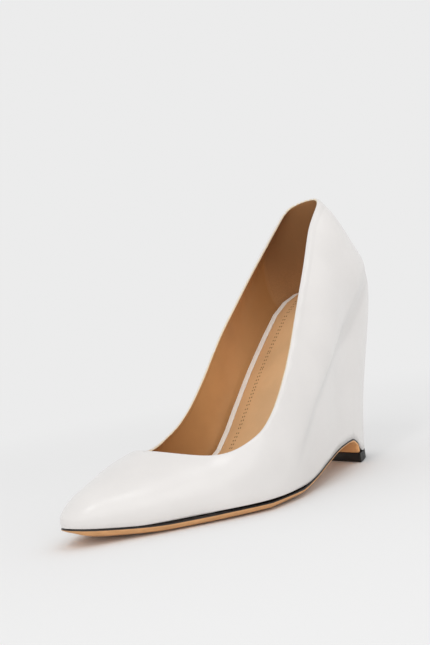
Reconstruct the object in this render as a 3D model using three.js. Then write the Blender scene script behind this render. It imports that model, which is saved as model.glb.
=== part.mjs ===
// A heel-less pump: a white leather court shoe on a sculpted wedge, all wrapped in one leather.
// Millimetres, +Z up from the floor. The toe points along -X and the outer side of the foot faces -Y.
// "along" is measured forward from the rearmost point of the back, and "side" outwards from the
// middle of the heel. Every table holds shares of the named sizes that it says.

import * as THREE from 'three';

// Driving sizes of the whole shoe
const LENGTH = 214.5;
const BALL_WIDTH = 70;
const HEEL_RISE = 91.9;
const QUARTER_RISE = 56;
const INSTEP_RISE = 31;
const VAMP_LENGTH = 51.2;
const THROAT_DEPTH = 36;
const THROAT_SQUARENESS = 2.05;
const TOE_ROUND = 13;
const TOE_BLUNT = 16;
const TOE_BLUNT_LOSS = 0.8;
const TOE_BLUNT_POWER = 2.2;

// Leather wall and the clearance between pieces that touch
const WALL = 1.6;
const GAP = 0.3;
const CORE_GAP = 0.5;

// Sole: thickness under the ball, its painted edge and the most of the thickness that it takes, the
// rounding below that edge, the overhang, the tread and the rise of the toe
const SOLE_THICKNESS = 4.3;
const EDGE_BAND = 1.4;
const EDGE_MOST = 0.7;
const BEVEL = 9;
const SOLE_OVERHANG = 0.4;
const TREAD_START = 108;
const TREAD_LENGTH = 62;
const TOE_SPRING = 5.7;
const TOE_SPRING_POWER = 1.7;

// Heel end of the wedge: the walked-on base and the arch cut ahead of it, with the last share of the
// arch's length over which it runs into the tread
const TOP_PIECE_HEIGHT = 5.2;
const TOP_PIECE_CHAMFER = 0.5;
const BASE_FRONT = 36.4;
const ARCH_LENGTH = 70;
const ARCH_HEIGHT = 15;
const ARCH_FADE = 0.2;

// Foot bed: an insole with a raised binding, narrower towards the toe, and the sock sunk inside it
const INSOLE_THICKNESS = 2.3;
const INSOLE_INSET = 1.1;
const BINDING_WIDTH = 4.0;
const BINDING_TOE_WIDTH = 1.2;
const SOCK_THICKNESS = 0.9;

// Roundness of the back in plan, and of the wedge's flare from base to foot bed
const BACK_SQUARENESS = 2.05;
const WEDGE_FLARE = 1.2;
const BULGE_ONSET = 2.4;

// How finely the forms are cut. The crowding powers draw steps towards one end, and the least values
// leave out what would be too thin.
const TOE_STEPS = 14;
const THROAT_STEPS = 14;
const QUARTER_STEPS = 12;
const BACK_STEPS = 9;
const LEAST_TURN = 0.1;
const PATH_SAMPLES = 160;
const LOW_ROWS = 6;
const HIGH_ROWS = 10;
const CORE_ROWS = 7;
const CORE_LEAST = 4;
const LOW_SHARE = 0.3;
const TOE_CROWDING = 1.7;
const BACK_CROWDING = 0.9;
const LOW_CROWDING = 1.2;
const HIGH_CROWDING = 1.15;
const SPLIT_EASE = 0.04;
const WAIST_STEPS = 12;
const TREAD_STEPS = 3;
const BEVEL_STEPS = 3;
const BED_STEPS = 16;
const SLOPE_REACH = 0.05;
const QUARTER_TURN = Math.PI / 2;

// Plan at the foot bed, from the back to the toe. Shares: at of LENGTH; wedge, the foot bed's rise,
// of HEEL_RISE; half and shift of BALL_WIDTH; foot, the half width at the sole, of that half.
const PLAN = [
  { at: 0.00, wedge: 1.000, half: 0.350, shift: -0.025, foot: 0.75 },
  { at: 0.08, wedge: 0.986, half: 0.355, shift: -0.034, foot: 0.75 },
  { at: 0.15, wedge: 0.962, half: 0.368, shift: -0.021, foot: 0.76 },
  { at: 0.22, wedge: 0.875, half: 0.393, shift: 0.013, foot: 0.76 },
  { at: 0.28, wedge: 0.720, half: 0.440, shift: 0.051, foot: 0.73 },
  { at: 0.34, wedge: 0.563, half: 0.468, shift: 0.091, foot: 0.78 },
  { at: 0.41, wedge: 0.380, half: 0.470, shift: 0.137, foot: 0.865 },
  { at: 0.50, wedge: 0.150, half: 0.481, shift: 0.190, foot: 0.96 },
  { at: 0.58, wedge: 0.054, half: 0.507, shift: 0.199, foot: 1.00 },
  { at: 0.65, wedge: 0.017, half: 0.521, shift: 0.136, foot: 1.00 },
  { at: 0.71, wedge: 0.000, half: 0.511, shift: 0.053, foot: 1.00 },
  { at: 0.77, wedge: 0.000, half: 0.471, shift: -0.009, foot: 1.00 },
  { at: 0.84, wedge: 0.000, half: 0.383, shift: -0.026, foot: 1.00 },
  { at: 0.93, wedge: 0.000, half: 0.208, shift: -0.009, foot: 1.00 },
  { at: 1.00, wedge: 0.000, half: 0.130, shift: 0.000, foot: 1.00 },
];

// Round over the foot. Shares: at of LENGTH; bulge of BALL_WIDTH; widest and cone, the heights of
// the widest place and of the section's crown, of INSTEP_RISE; quarter of QUARTER_RISE. square is the
// exponent of the round, and fold how sharply the sides turn at the foot bed.
const ROUND = [
  { at: 0.00, bulge: 0.037, widest: 0.52, cone: 2.00, quarter: 1.000, square: 2.20, fold: 1.0 },
  { at: 0.08, bulge: 0.037, widest: 0.52, cone: 1.95, quarter: 1.000, square: 2.20, fold: 1.0 },
  { at: 0.15, bulge: 0.037, widest: 0.52, cone: 1.91, quarter: 0.968, square: 2.20, fold: 1.0 },
  { at: 0.22, bulge: 0.037, widest: 0.52, cone: 1.73, quarter: 0.880, square: 2.20, fold: 1.0 },
  { at: 0.28, bulge: 0.038, widest: 0.54, cone: 1.79, quarter: 0.873, square: 2.20, fold: 1.0 },
  { at: 0.34, bulge: 0.038, widest: 0.56, cone: 1.90, quarter: 0.867, square: 2.20, fold: 0.9 },
  { at: 0.41, bulge: 0.038, widest: 0.57, cone: 2.24, quarter: 0.850, square: 2.20, fold: 0.6 },
  { at: 0.50, bulge: 0.038, widest: 0.53, cone: 3.10, quarter: 0.768, square: 2.20, fold: 0.1 },
  { at: 0.58, bulge: 0.040, widest: 0.44, cone: 2.30, quarter: 0.572, square: 2.20, fold: 0.0 },
  { at: 0.65, bulge: 0.042, widest: 0.385, cone: 1.30, quarter: 0.479, square: 2.20, fold: 0.0 },
  { at: 0.71, bulge: 0.034, widest: 0.325, cone: 1.06, quarter: 0.460, square: 2.15, fold: 0.0 },
  { at: 0.77, bulge: 0.030, widest: 0.29, cone: 0.98, quarter: 0.450, square: 2.08, fold: 0.0 },
  { at: 0.84, bulge: 0.028, widest: 0.25, cone: 0.82, quarter: 0.450, square: 2.05, fold: 0.0 },
  { at: 0.93, bulge: 0.018, widest: 0.165, cone: 0.55, quarter: 0.450, square: 2.00, fold: 0.0 },
  { at: 1.00, bulge: 0.010, widest: 0.09, cone: 0.31, quarter: 0.450, square: 2.00, fold: 0.0 },
];

// Middle line of the back, bottom to top. Shares: up of HEEL_RISE + QUARTER_RISE; back (the rear
// surface) and nose (where the back's round meets the sides) of LENGTH.
const BACK = [
  { up: 0.00, back: 0.096, nose: 0.258 },
  { up: 0.135, back: 0.081, nose: 0.277 },
  { up: 0.27, back: 0.062, nose: 0.240 },
  { up: 0.405, back: 0.036, nose: 0.203 },
  { up: 0.54, back: 0.012, nose: 0.175 },
  { up: 0.64, back: 0.000, nose: 0.163 },
  { up: 0.745, back: 0.014, nose: 0.173 },
  { up: 0.81, back: 0.042, nose: 0.191 },
  { up: 0.88, back: 0.069, nose: 0.198 },
  { up: 1.015, back: 0.131, nose: 0.203 },
];

// Underside of the arch. Shares: ahead of ARCH_LENGTH, up of ARCH_HEIGHT.
const ARCH = [
  { ahead: 0.00, up: 0.43 },
  { ahead: 0.02, up: 0.70 },
  { ahead: 0.05, up: 0.81 },
  { ahead: 0.11, up: 0.97 },
  { ahead: 0.20, up: 1.00 },
  { ahead: 0.30, up: 0.97 },
  { ahead: 0.45, up: 0.86 },
  { ahead: 0.60, up: 0.70 },
  { ahead: 0.80, up: 0.43 },
  { ahead: 1.00, up: 0.29 },
];

// Sole. Shares: at of LENGTH, thick of SOLE_THICKNESS, edge of EDGE_BAND, bevel of BEVEL, lip of
// SOLE_OVERHANG.
const SOLE = [
  { at: 0.10, thick: 0.33, edge: 0.66, bevel: 0.20, lip: 0 },
  { at: 0.38, thick: 0.34, edge: 0.72, bevel: 0.30, lip: 0 },
  { at: 0.50, thick: 0.62, edge: 0.90, bevel: 0.60, lip: 0.5 },
  { at: 0.62, thick: 1.00, edge: 1.00, bevel: 1.00, lip: 1 },
  { at: 0.86, thick: 1.00, edge: 1.00, bevel: 0.90, lip: 1 },
  { at: 0.93, thick: 0.98, edge: 0.95, bevel: 0.80, lip: 0.8 },
  { at: 0.97, thick: 0.80, edge: 0.85, bevel: 0.55, lip: 0.5 },
  { at: 1.00, thick: 0.28, edge: 0.60, bevel: 0.30, lip: 0.2 },
];

const clamp01 = (value) => Math.min(Math.max(value, 0), 1);
const mix = (from, to, share) => from + (to - from) * share;
const ease = (share) => (1 - Math.cos(Math.PI * clamp01(share))) / 2;

// Slopes for a curve that never swings past the rows it joins
function levelSlopes(xs, ys) {
  const steps = xs.slice(1).map((x, k) => (ys[k + 1] - ys[k]) / (x - xs[k]));
  return xs.map((x, k) => {
    if (k === 0) return steps[0];
    if (k === xs.length - 1) return steps[k - 1];
    const before = steps[k - 1];
    const after = steps[k];
    if (before * after <= 0) return 0;
    const near = xs[k] - xs[k - 1];
    const far = xs[k + 1] - xs[k];
    const weight = 3 * (near + far);
    return weight / ((2 * far + near) / before + (far + 2 * near) / after);
  });
}

// Slopes for a curve whose bend is continuous, with free ends
function flowingSlopes(xs, ys) {
  const count = xs.length;
  const diagonal = [2];
  const right = [3 * (ys[1] - ys[0]) / (xs[1] - xs[0])];
  const upper = [1];
  for (let k = 1; k < count; k += 1) {
    const near = xs[k] - xs[k - 1];
    const stepBefore = (ys[k] - ys[k - 1]) / near;
    let lower = 1;
    let middle = 2;
    let value = 3 * stepBefore;
    if (k < count - 1) {
      const far = xs[k + 1] - xs[k];
      const stepAfter = (ys[k + 1] - ys[k]) / far;
      lower = far / (near + far);
      upper[k] = near / (near + far);
      value = 3 * (lower * stepBefore + upper[k] * stepAfter);
    }
    const factor = lower / diagonal[k - 1];
    diagonal[k] = middle - factor * upper[k - 1];
    right[k] = value - factor * right[k - 1];
  }
  const slopes = new Array(count);
  slopes[count - 1] = right[count - 1] / diagonal[count - 1];
  for (let k = count - 2; k >= 0; k -= 1) {
    slopes[k] = (right[k] - upper[k] * slopes[k + 1]) / diagonal[k];
  }
  return slopes;
}

// A smooth curve through one column of a table, level beyond both ends
function column(rows, place, name, slopesOf) {
  const xs = rows.map((row) => row[place]);
  const ys = rows.map((row) => row[name]);
  const slopes = slopesOf(xs, ys);
  const last = xs.length - 1;
  return (x) => {
    if (x <= xs[0]) return ys[0];
    if (x >= xs[last]) return ys[last];
    let k = 0;
    while (x > xs[k + 1]) k += 1;
    const step = xs[k + 1] - xs[k];
    const t = (x - xs[k]) / step;
    const rest = 1 - t;
    const ends = ys[k] * (1 + 2 * t) * rest * rest + ys[k + 1] * t * t * (3 - 2 * t);
    return ends + step * t * rest * (slopes[k] * rest - slopes[k + 1] * t);
  };
}

const section = {
  wedge: column(PLAN, 'at', 'wedge', levelSlopes),
  half: column(PLAN, 'at', 'half', flowingSlopes),
  shift: column(PLAN, 'at', 'shift', flowingSlopes),
  foot: column(PLAN, 'at', 'foot', levelSlopes),
  bulge: column(ROUND, 'at', 'bulge', flowingSlopes),
  widest: column(ROUND, 'at', 'widest', flowingSlopes),
  cone: column(ROUND, 'at', 'cone', flowingSlopes),
  quarter: column(ROUND, 'at', 'quarter', flowingSlopes),
  square: column(ROUND, 'at', 'square', flowingSlopes),
  fold: column(ROUND, 'at', 'fold', levelSlopes),
};
const backCurve = column(BACK, 'up', 'back', flowingSlopes);
const noseCurve = column(BACK, 'up', 'nose', flowingSlopes);
const archCurve = column(ARCH, 'ahead', 'up', levelSlopes);
const sole = {
  thick: column(SOLE, 'at', 'thick', levelSlopes),
  edge: column(SOLE, 'at', 'edge', levelSlopes),
  bevel: column(SOLE, 'at', 'bevel', levelSlopes),
  lip: column(SOLE, 'at', 'lip', levelSlopes),
};

const THROAT_FRONT = LENGTH - VAMP_LENGTH;
const THROAT_SIDES = THROAT_FRONT - THROAT_DEPTH;
const BREAST = BASE_FRONT - SOLE_THICKNESS * sole.thick(BASE_FRONT / LENGTH) - GAP;
const ARCH_END = BREAST + ARCH_LENGTH;
const BASE_TOP = TOP_PIECE_HEIGHT + GAP;
const TREAD_END = TREAD_START + TREAD_LENGTH;
const HALF_WAY_UP = HEEL_RISE / 2;
const OVER_BED = HEEL_RISE * 1.5;

// Top of the sole, leaving out the arch: level as far as the ball, then the toe spring
function treadLine(along) {
  const forward = clamp01((along - TREAD_END) / (LENGTH - TREAD_END));
  return SOLE_THICKNESS + TOE_SPRING * forward ** TOE_SPRING_POWER;
}

// Top of the sole with the arch, and of the top piece behind it
function soleTop(along) {
  if (along <= BREAST) return TOP_PIECE_HEIGHT;
  const share = (along - BREAST) / ARCH_LENGTH;
  if (share >= 1) return treadLine(along);
  const arch = ARCH_HEIGHT * archCurve(share);
  const meetsTread = clamp01((share - 1 + ARCH_FADE) / ARCH_FADE);
  return mix(arch, treadLine(along), meetsTread * meetsTread);
}

function slopeOf(line, along) {
  return (line(along + SLOPE_REACH) - line(along - SLOPE_REACH)) / (2 * SLOPE_REACH);
}

// Bottom edge of the leather walls, a clearance over what they stand on
function wallBottom(along) {
  if (along <= BREAST) return BASE_TOP;
  const slope = slopeOf(soleTop, Math.max(along, BREAST + 2 * SLOPE_REACH));
  return Math.max(soleTop(along) + GAP * Math.hypot(1, slope), BASE_TOP);
}

function footBed(along) {
  return treadLine(along) + GAP + HEEL_RISE * section.wedge(along / LENGTH);
}

function toeShare(along, length) {
  return clamp01((along - LENGTH + length) / length);
}

function sectionAt(along) {
  const at = along / LENGTH;
  const round = Math.sqrt(1 - toeShare(along, TOE_ROUND) ** 2);
  const blunt = Math.sqrt(1 - TOE_BLUNT_LOSS * toeShare(along, TOE_BLUNT) ** TOE_BLUNT_POWER);
  const foot = footBed(along);
  const half = BALL_WIDTH * section.half(at) * round;
  const bulge = BALL_WIDTH * section.bulge(at) * round;
  return {
    low: treadLine(along) + GAP,
    foot,
    half,
    bulge,
    lowHalf: half * section.foot(at),
    full: half + bulge,
    widest: foot + INSTEP_RISE * section.widest(at),
    ridge: foot + INSTEP_RISE * section.cone(at) * blunt,
    square: section.square(at),
    fold: section.fold(at),
  };
}

const middleAt = (along) => BALL_WIDTH * section.shift(along / LENGTH);

// Half width of the shoe's sides at a height, before the back rounds them off
function bodyHalf(along, z) {
  const here = sectionAt(along);
  if (z >= here.widest) {
    const share = clamp01((z - here.widest) / (here.ridge - here.widest));
    return here.full * (1 - share ** here.square) ** (1 / here.square);
  }
  const rise = clamp01((z - here.low) / (here.widest - here.low));
  const plain = mix(here.lowHalf, here.full, 1 - (1 - rise) ** BULGE_ONSET);
  return mix(plain, foldedHalf(here, z), here.fold);
}

// Half width of sides that turn at the foot bed, below the widest place
function foldedHalf(here, z) {
  if (z >= here.foot) {
    const share = (z - here.foot) / (here.widest - here.foot);
    return here.half + here.bulge * (1 - (1 - share) ** BULGE_ONSET);
  }
  const share = clamp01((z - here.low) / (here.foot - here.low));
  return mix(here.lowHalf, here.half, share ** WEDGE_FLARE);
}

const backAt = (z) => LENGTH * backCurve(z / (HEEL_RISE + QUARTER_RISE));
const noseAt = (z) => LENGTH * noseCurve(z / (HEEL_RISE + QUARTER_RISE));
const ROUND_POWER = 2 / BACK_SQUARENESS;

// A point of the round back: turn runs from 0 at the sides to a quarter turn at the middle
function backPoint(turn, z) {
  const depth = 1 - Math.sin(turn) ** ROUND_POWER;
  const along = backAt(z) + (noseAt(z) - backAt(z)) * depth;
  const spread = Math.max(Math.cos(turn), 0) ** ROUND_POWER;
  return { along, half: bodyHalf(along, z) * spread, z };
}

// Half width with the round back, anywhere behind the toe
function halfAt(along, z) {
  const depth = (along - backAt(z)) / (noseAt(z) - backAt(z));
  if (depth <= 0) return 0;
  if (depth >= 1) return bodyHalf(along, z);
  const spread = (1 - (1 - depth) ** BACK_SQUARENESS) ** (1 / BACK_SQUARENESS);
  return bodyHalf(along, z) * spread;
}

const toplineAt = (along) => footBed(along) + QUARTER_RISE * section.quarter(along / LENGTH);

// The height at which a rising path meets a line that is given along the shoe
function meet(path, line, low, high) {
  let under = low;
  let over = high;
  for (let k = 0; k < 50; k += 1) {
    const middle = (under + over) / 2;
    if (middle < line(path(middle).along)) under = middle;
    else over = middle;
  }
  return (under + over) / 2;
}

// A station of the quarter or back: its path from the bottom edge up to the topline
function wallStation(path) {
  const bottom = meet(path, wallBottom, 0, HALF_WAY_UP);
  const top = meet(path, toplineAt, SOLE_THICKNESS, HEEL_RISE + 2 * QUARTER_RISE);
  const crease = meet(path, footBed, 0, OVER_BED);
  const points = [];
  for (let k = 0; k <= PATH_SAMPLES; k += 1) points.push(path(mix(bottom, top, k / PATH_SAMPLES)));
  return spreadRows(points, clamp01((crease - bottom) / (top - bottom)) * PATH_SAMPLES);
}

// A station of the vamp: from the sole up and over to the ridge or the throat's edge
function vampStation(bottomAlong, topAlong, topTurn) {
  const points = [];
  for (let k = 0; k <= PATH_SAMPLES; k += 1) {
    const share = k / PATH_SAMPLES;
    const along = mix(bottomAlong, topAlong, share);
    const here = sectionAt(along);
    if (share < LOW_SHARE) {
      const z = mix(wallBottom(along), here.widest, share / LOW_SHARE);
      points.push({ along, half: bodyHalf(along, z), z });
    } else {
      const turn = topTurn * (share - LOW_SHARE) / (1 - LOW_SHARE);
      const power = 2 / here.square;
      const half = here.full * Math.max(Math.cos(turn), 0) ** power;
      points.push({ along, half, z: mix(here.widest, here.ridge, Math.sin(turn) ** power) });
    }
  }
  return spreadRows(points, 0);
}

// Takes the rows of a station from its path, with one row kept on the crease where there is one
function spreadRows(points, creaseIndex) {
  const run = [0];
  for (let k = 1; k < points.length; k += 1) {
    const from = points[k - 1];
    const to = points[k];
    run.push(run[k - 1] + Math.hypot(to.along - from.along, to.half - from.half, to.z - from.z));
  }
  const total = run[run.length - 1];
  const whole = Math.floor(creaseIndex);
  const next = Math.min(whole + 1, run.length - 1);
  const crease = mix(run[whole], run[next], creaseIndex - whole);
  const least = LOW_SHARE * total;
  const split = (crease + least + Math.hypot(crease - least, SPLIT_EASE * total)) / 2;
  const rows = [];
  const reach = (length) => {
    let k = 0;
    while (k < run.length - 2 && run[k + 1] < length) k += 1;
    const share = clamp01((length - run[k]) / (run[k + 1] - run[k]));
    const from = points[k];
    const to = points[k + 1];
    rows.push({
      along: mix(from.along, to.along, share),
      half: mix(from.half, to.half, share),
      z: mix(from.z, to.z, share),
    });
  };
  for (let k = 0; k < LOW_ROWS; k += 1) reach(split * (1 - (1 - k / LOW_ROWS) ** LOW_CROWDING));
  for (let k = 0; k <= HIGH_ROWS; k += 1) {
    reach(split + (total - split) * (k / HIGH_ROWS) ** HIGH_CROWDING);
  }
  return rows;
}

// Places along the arch, denser where it climbs away from the base
const ARCH_SHARES = [0, 0.009, 0.019, 0.032, 0.05, 0.075, 0.11, 0.155, 0.21, 0.27];
const archPlaces = ARCH_SHARES.map((share) => BREAST + GAP + share * (ARCH_LENGTH - GAP));

// Turn of the back whose path starts at a place on the bottom edge
function turnFrom(along) {
  const z = wallBottom(along);
  const depth = (along - backAt(z)) / (noseAt(z) - backAt(z));
  return Math.asin((1 - clamp01(depth)) ** (1 / ROUND_POWER));
}

// Turn of the back where its path starts at the front corner of the walked-on base
const cornerTurn = () => turnFrom(BREAST);

// Turns of the back: one over each place of the arch, then round behind the base
function backTurns() {
  const corner = cornerTurn();
  const turns = archPlaces.slice(1).reverse().map(turnFrom).filter((turn) => turn > LEAST_TURN);
  turns.push(corner);
  for (let k = 1; k <= BACK_STEPS; k += 1) {
    turns.push(mix(corner, QUARTER_TURN, (k / BACK_STEPS) ** BACK_CROWDING));
  }
  return turns;
}

// Half width of the opening where the throat's round begins
function throatHalf() {
  return bodyHalf(THROAT_SIDES, toplineAt(THROAT_SIDES));
}

// All stations of one side of the leather, from the toe to the middle of the back
function leatherStations() {
  const stations = [];
  for (let k = 0; k <= TOE_STEPS; k += 1) {
    const along = LENGTH - VAMP_LENGTH * (k / TOE_STEPS) ** TOE_CROWDING;
    stations.push(vampStation(along, along, QUARTER_TURN));
  }
  const power = 2 / THROAT_SQUARENESS;
  for (let k = 1; k <= THROAT_STEPS; k += 1) {
    const turn = QUARTER_TURN * (1 - k / THROAT_STEPS);
    const topAlong = THROAT_SIDES + THROAT_DEPTH * Math.sin(turn) ** power;
    const topHalf = throatHalf() * Math.cos(turn) ** power;
    const there = sectionAt(topAlong);
    const topTurn = Math.acos(clamp01(topHalf / there.full) ** (there.square / 2));
    const bottomAlong = mix(THROAT_FRONT, THROAT_SIDES, k / THROAT_STEPS);
    stations.push(vampStation(bottomAlong, topAlong, topTurn));
  }
  stations.push(...wallPaths().map(wallStation));
  return stations;
}

// Paths up the quarter and round the back, from the throat's sides to the middle of the back
function wallPaths() {
  const paths = [];
  const middleNose = noseAt(HEEL_RISE);
  for (let k = 1; k <= QUARTER_STEPS; k += 1) {
    const share = k / QUARTER_STEPS;
    const along = mix(THROAT_SIDES, middleNose, share);
    const lean = share ** 2;
    paths.push((z) => {
      const here = along + lean * (noseAt(z) - middleNose);
      return { along: here, half: bodyHalf(here, z), z };
    });
  }
  for (const turn of backTurns()) paths.push((z) => backPoint(turn, z));
  return paths;
}

// A closed surface under construction
class Surface {
  constructor() {
    this.points = [];
    this.faces = [];
  }

  point(along, side, z) {
    this.points.push(new THREE.Vector3(-along, -side, z));
    return this.points.length - 1;
  }

  quad(a, b, c, d) {
    this.faces.push([a, b, c], [a, c, d]);
  }

  // Closes a strip between two rows of points
  strip(first, second) {
    for (let k = 0; k + 1 < first.length; k += 1) {
      this.quad(first[k], first[k + 1], second[k + 1], second[k]);
    }
  }

  normals() {
    const sums = this.points.map(() => new THREE.Vector3());
    for (const [a, b, c] of this.faces) {
      const edge = this.points[b].clone().sub(this.points[a]);
      const other = this.points[c].clone().sub(this.points[a]);
      const cross = edge.cross(other);
      for (const id of [a, b, c]) sums[id].add(cross);
    }
    return sums.map((sum) => sum.normalize());
  }

  // The finished geometry: points that coincide are one, and its faces point outwards
  geometry() {
    const ids = new Map();
    const positions = [];
    const own = this.points.map((point) => {
      const key = [point.x, point.y, point.z].map((value) => Math.round(value * 500)).join(' ');
      if (!ids.has(key)) {
        ids.set(key, positions.length / 3);
        positions.push(point.x, point.y, point.z);
      }
      return ids.get(key);
    });
    const faces = this.faces
      .map((face) => face.map((id) => own[id]))
      .filter(([a, b, c]) => a !== b && b !== c && c !== a);
    let volume = 0;
    const corner = (id) => new THREE.Vector3().fromArray(positions, id * 3);
    for (const [a, b, c] of faces) volume += corner(a).dot(corner(b).cross(corner(c)));
    const geometry = new THREE.BufferGeometry();
    geometry.setAttribute('position', new THREE.Float32BufferAttribute(positions, 3));
    geometry.setIndex(faces.flatMap(([a, b, c]) => (volume > 0 ? [a, b, c] : [a, c, b])));
    geometry.computeVertexNormals();
    return geometry;
  }
}

// Two mirrored grids over the same stations. They share the points of the stations and rows that
// lie on the middle line.
function mirroredSkin(stations, isMiddle) {
  const skin = new Surface();
  const near = stations.map((rows, i) => rows.map((row, j) => {
    const half = isMiddle(i, j) ? 0 : row.half;
    return skin.point(row.along, middleAt(row.along) + half, row.z);
  }));
  const far = stations.map((rows, i) => rows.map((row, j) => {
    if (isMiddle(i, j)) return near[i][j];
    return skin.point(row.along, middleAt(row.along) - row.half, row.z);
  }));
  for (let i = 0; i + 1 < stations.length; i += 1) {
    skin.strip(near[i + 1], near[i]);
    skin.strip(far[i], far[i + 1]);
  }
  return { skin, near, far };
}

// The leather's outer skin, joined along the toe, the vamp's ridge and the middle of the back
function leatherSkin(stations) {
  const last = stations.length - 1;
  const top = LOW_ROWS + HIGH_ROWS;
  return mirroredSkin(stations, (i, j) => i === 0 || i === last || (j === top && i <= TOE_STEPS));
}

// The leather: its outer skin, the same skin a wall's thickness in, and the two rims between them
function upperGeometry(stations) {
  const { skin, near, far } = leatherSkin(stations);
  const normals = skin.normals();
  const count = skin.points.length;
  const outerFaces = skin.faces.slice();
  const bottomIds = new Set([...near, ...far].map((rows) => rows[0]));
  for (let id = 0; id < count; id += 1) {
    const inner = skin.points[id].clone().addScaledVector(normals[id], -WALL);
    if (bottomIds.has(id)) inner.z = wallBottom(-inner.x);
    skin.points.push(inner);
  }
  for (const [a, b, c] of outerFaces) skin.faces.push([a + count, c + count, b + count]);
  const top = LOW_ROWS + HIGH_ROWS;
  const rim = (ids) => skin.strip(ids, ids.map((id) => id + count));
  const nearBottom = near.map((rows) => rows[0]);
  const farBottom = far.map((rows) => rows[0]);
  const nearTop = near.slice(TOE_STEPS).map((rows) => rows[top]);
  const farTop = far.slice(TOE_STEPS).map((rows) => rows[top]);
  rim(nearBottom.reverse());
  rim(farBottom);
  rim(nearTop);
  rim(farTop.reverse());
  return skin.geometry();
}

// The wedge inside the leather, from the heel's base forward to where the foot bed meets the sole.
// Its sides are the leather's own, set in by the wall and a clearance.
function wedgeGeometry() {
  const sides = wallPaths().map((path) => {
    const bottom = meet(path, wallBottom, 0, HALF_WAY_UP);
    const top = meet(path, footBed, 0, OVER_BED);
    const rows = [];
    for (let k = 0; k <= CORE_ROWS; k += 1) rows.push(path(mix(bottom, top, k / CORE_ROWS)));
    return rows;
  }).filter((rows) => rows[CORE_ROWS].z - rows[0].z > CORE_LEAST);
  const { skin, near, far } = mirroredSkin(sides, (i) => i === sides.length - 1);
  const normals = skin.normals();
  const core = new Surface();
  const place = (ids) => ids.map((id, j) => {
    const point = skin.points[id].clone().addScaledVector(normals[id], -WALL - CORE_GAP);
    const along = -point.x;
    if (j === 0) point.z = wallBottom(along);
    if (j === CORE_ROWS) point.z = footBed(along) - CORE_GAP * Math.hypot(1, slopeOf(footBed, along));
    return core.point(along, -point.y, point.z);
  });
  const nearWalls = near.map(place);
  const farWalls = far.map(place);
  for (let i = 0; i + 1 < nearWalls.length; i += 1) {
    core.strip(nearWalls[i + 1], nearWalls[i]);
    core.strip(farWalls[i], farWalls[i + 1]);
    const roof = [nearWalls, farWalls].map((walls) => [walls[i][CORE_ROWS], walls[i + 1][CORE_ROWS]]);
    const floor = [nearWalls, farWalls].map((walls) => [walls[i][0], walls[i + 1][0]]);
    core.quad(roof[0][0], roof[0][1], roof[1][1], roof[1][0]);
    core.quad(floor[1][0], floor[1][1], floor[0][1], floor[0][0]);
  }
  core.strip(nearWalls[0], farWalls[0]);
  return core.geometry();
}

// A plate that follows a line along the shoe. Each station has its place and half width on the
// outline; each layer is an inset from that outline at a depth square to the line.
function plateGeometry(outline, line, layersAt) {
  const plate = new Surface();
  const rings = outline.map((here, k) => {
    const before = outline[Math.max(k - 1, 0)];
    const after = outline[Math.min(k + 1, outline.length - 1)];
    let run = new THREE.Vector2(after.along - before.along, after.half - before.half);
    if (here.half === 0) run = new THREE.Vector2(0, k === 0 ? 1 : -1);
    run.normalize();
    const slope = slopeOf(line, here.along);
    const steep = Math.hypot(1, slope);
    const side = (sign) => layersAt(here.along).map(({ inset, depth }) => {
      if (here.seat) {
        const half = here.half - inset;
        return plate.point(here.along + depth, middleAt(here.along) + sign * half, here.seat);
      }
      const over = here.along + inset * run.y;
      const along = over + depth * slope / steep;
      const half = Math.max(here.half - inset * run.x, 0);
      return plate.point(along, middleAt(along) + sign * half, line(over) - depth / steep);
    });
    return { near: side(1), far: side(-1) };
  });
  for (let i = 0; i + 1 < rings.length; i += 1) {
    const here = rings[i];
    const next = rings[i + 1];
    plate.strip(here.near, next.near);
    plate.strip(next.far, here.far);
    const bottom = here.near.length - 1;
    plate.quad(here.near[0], next.near[0], next.far[0], here.far[0]);
    plate.quad(next.near[bottom], here.near[bottom], here.far[bottom], next.far[bottom]);
  }
  const tip = rings[rings.length - 1];
  plate.strip(rings[0].far, rings[0].near);
  plate.strip(tip.near, tip.far);
  return plate.geometry();
}

// Places along the toe end, denser towards the tip
function toePlaces(from) {
  const places = [];
  for (let k = TOE_STEPS; k >= 0; k -= 1) {
    places.push(LENGTH - (LENGTH - from) * (k / TOE_STEPS) ** TOE_CROWDING);
  }
  return places;
}

function soleGeometry() {
  const places = archPlaces.slice();
  const archTop = places[places.length - 1];
  for (let k = 1; k < WAIST_STEPS; k += 1) places.push(mix(archTop, TREAD_START, k / WAIST_STEPS));
  for (let k = 0; k <= TREAD_STEPS; k += 1) places.push(mix(TREAD_START, TREAD_END, k / TREAD_STEPS));
  places.push(...toePlaces(TREAD_END).slice(1));
  const outline = places.map((along, k) => {
    const lip = SOLE_OVERHANG * sole.lip(along / LENGTH);
    const half = halfAt(along, wallBottom(along));
    const seat = k === 0 ? BASE_TOP : 0;
    return { along, half: along >= LENGTH ? 0 : half + lip, seat };
  });
  const layersAt = (along) => {
    const at = along / LENGTH;
    const thick = SOLE_THICKNESS * sole.thick(at);
    const edge = Math.min(EDGE_BAND * sole.edge(at), thick * EDGE_MOST);
    const bevel = BEVEL * sole.bevel(at);
    const layers = [{ inset: 0, depth: 0 }];
    for (let k = 0; k <= BEVEL_STEPS; k += 1) {
      const turn = QUARTER_TURN * (k / BEVEL_STEPS);
      const inset = bevel * (1 - Math.cos(turn));
      layers.push({ inset, depth: mix(edge, thick, Math.sin(turn)) });
    }
    return layers;
  };
  return plateGeometry(outline, soleTop, layersAt);
}

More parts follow.
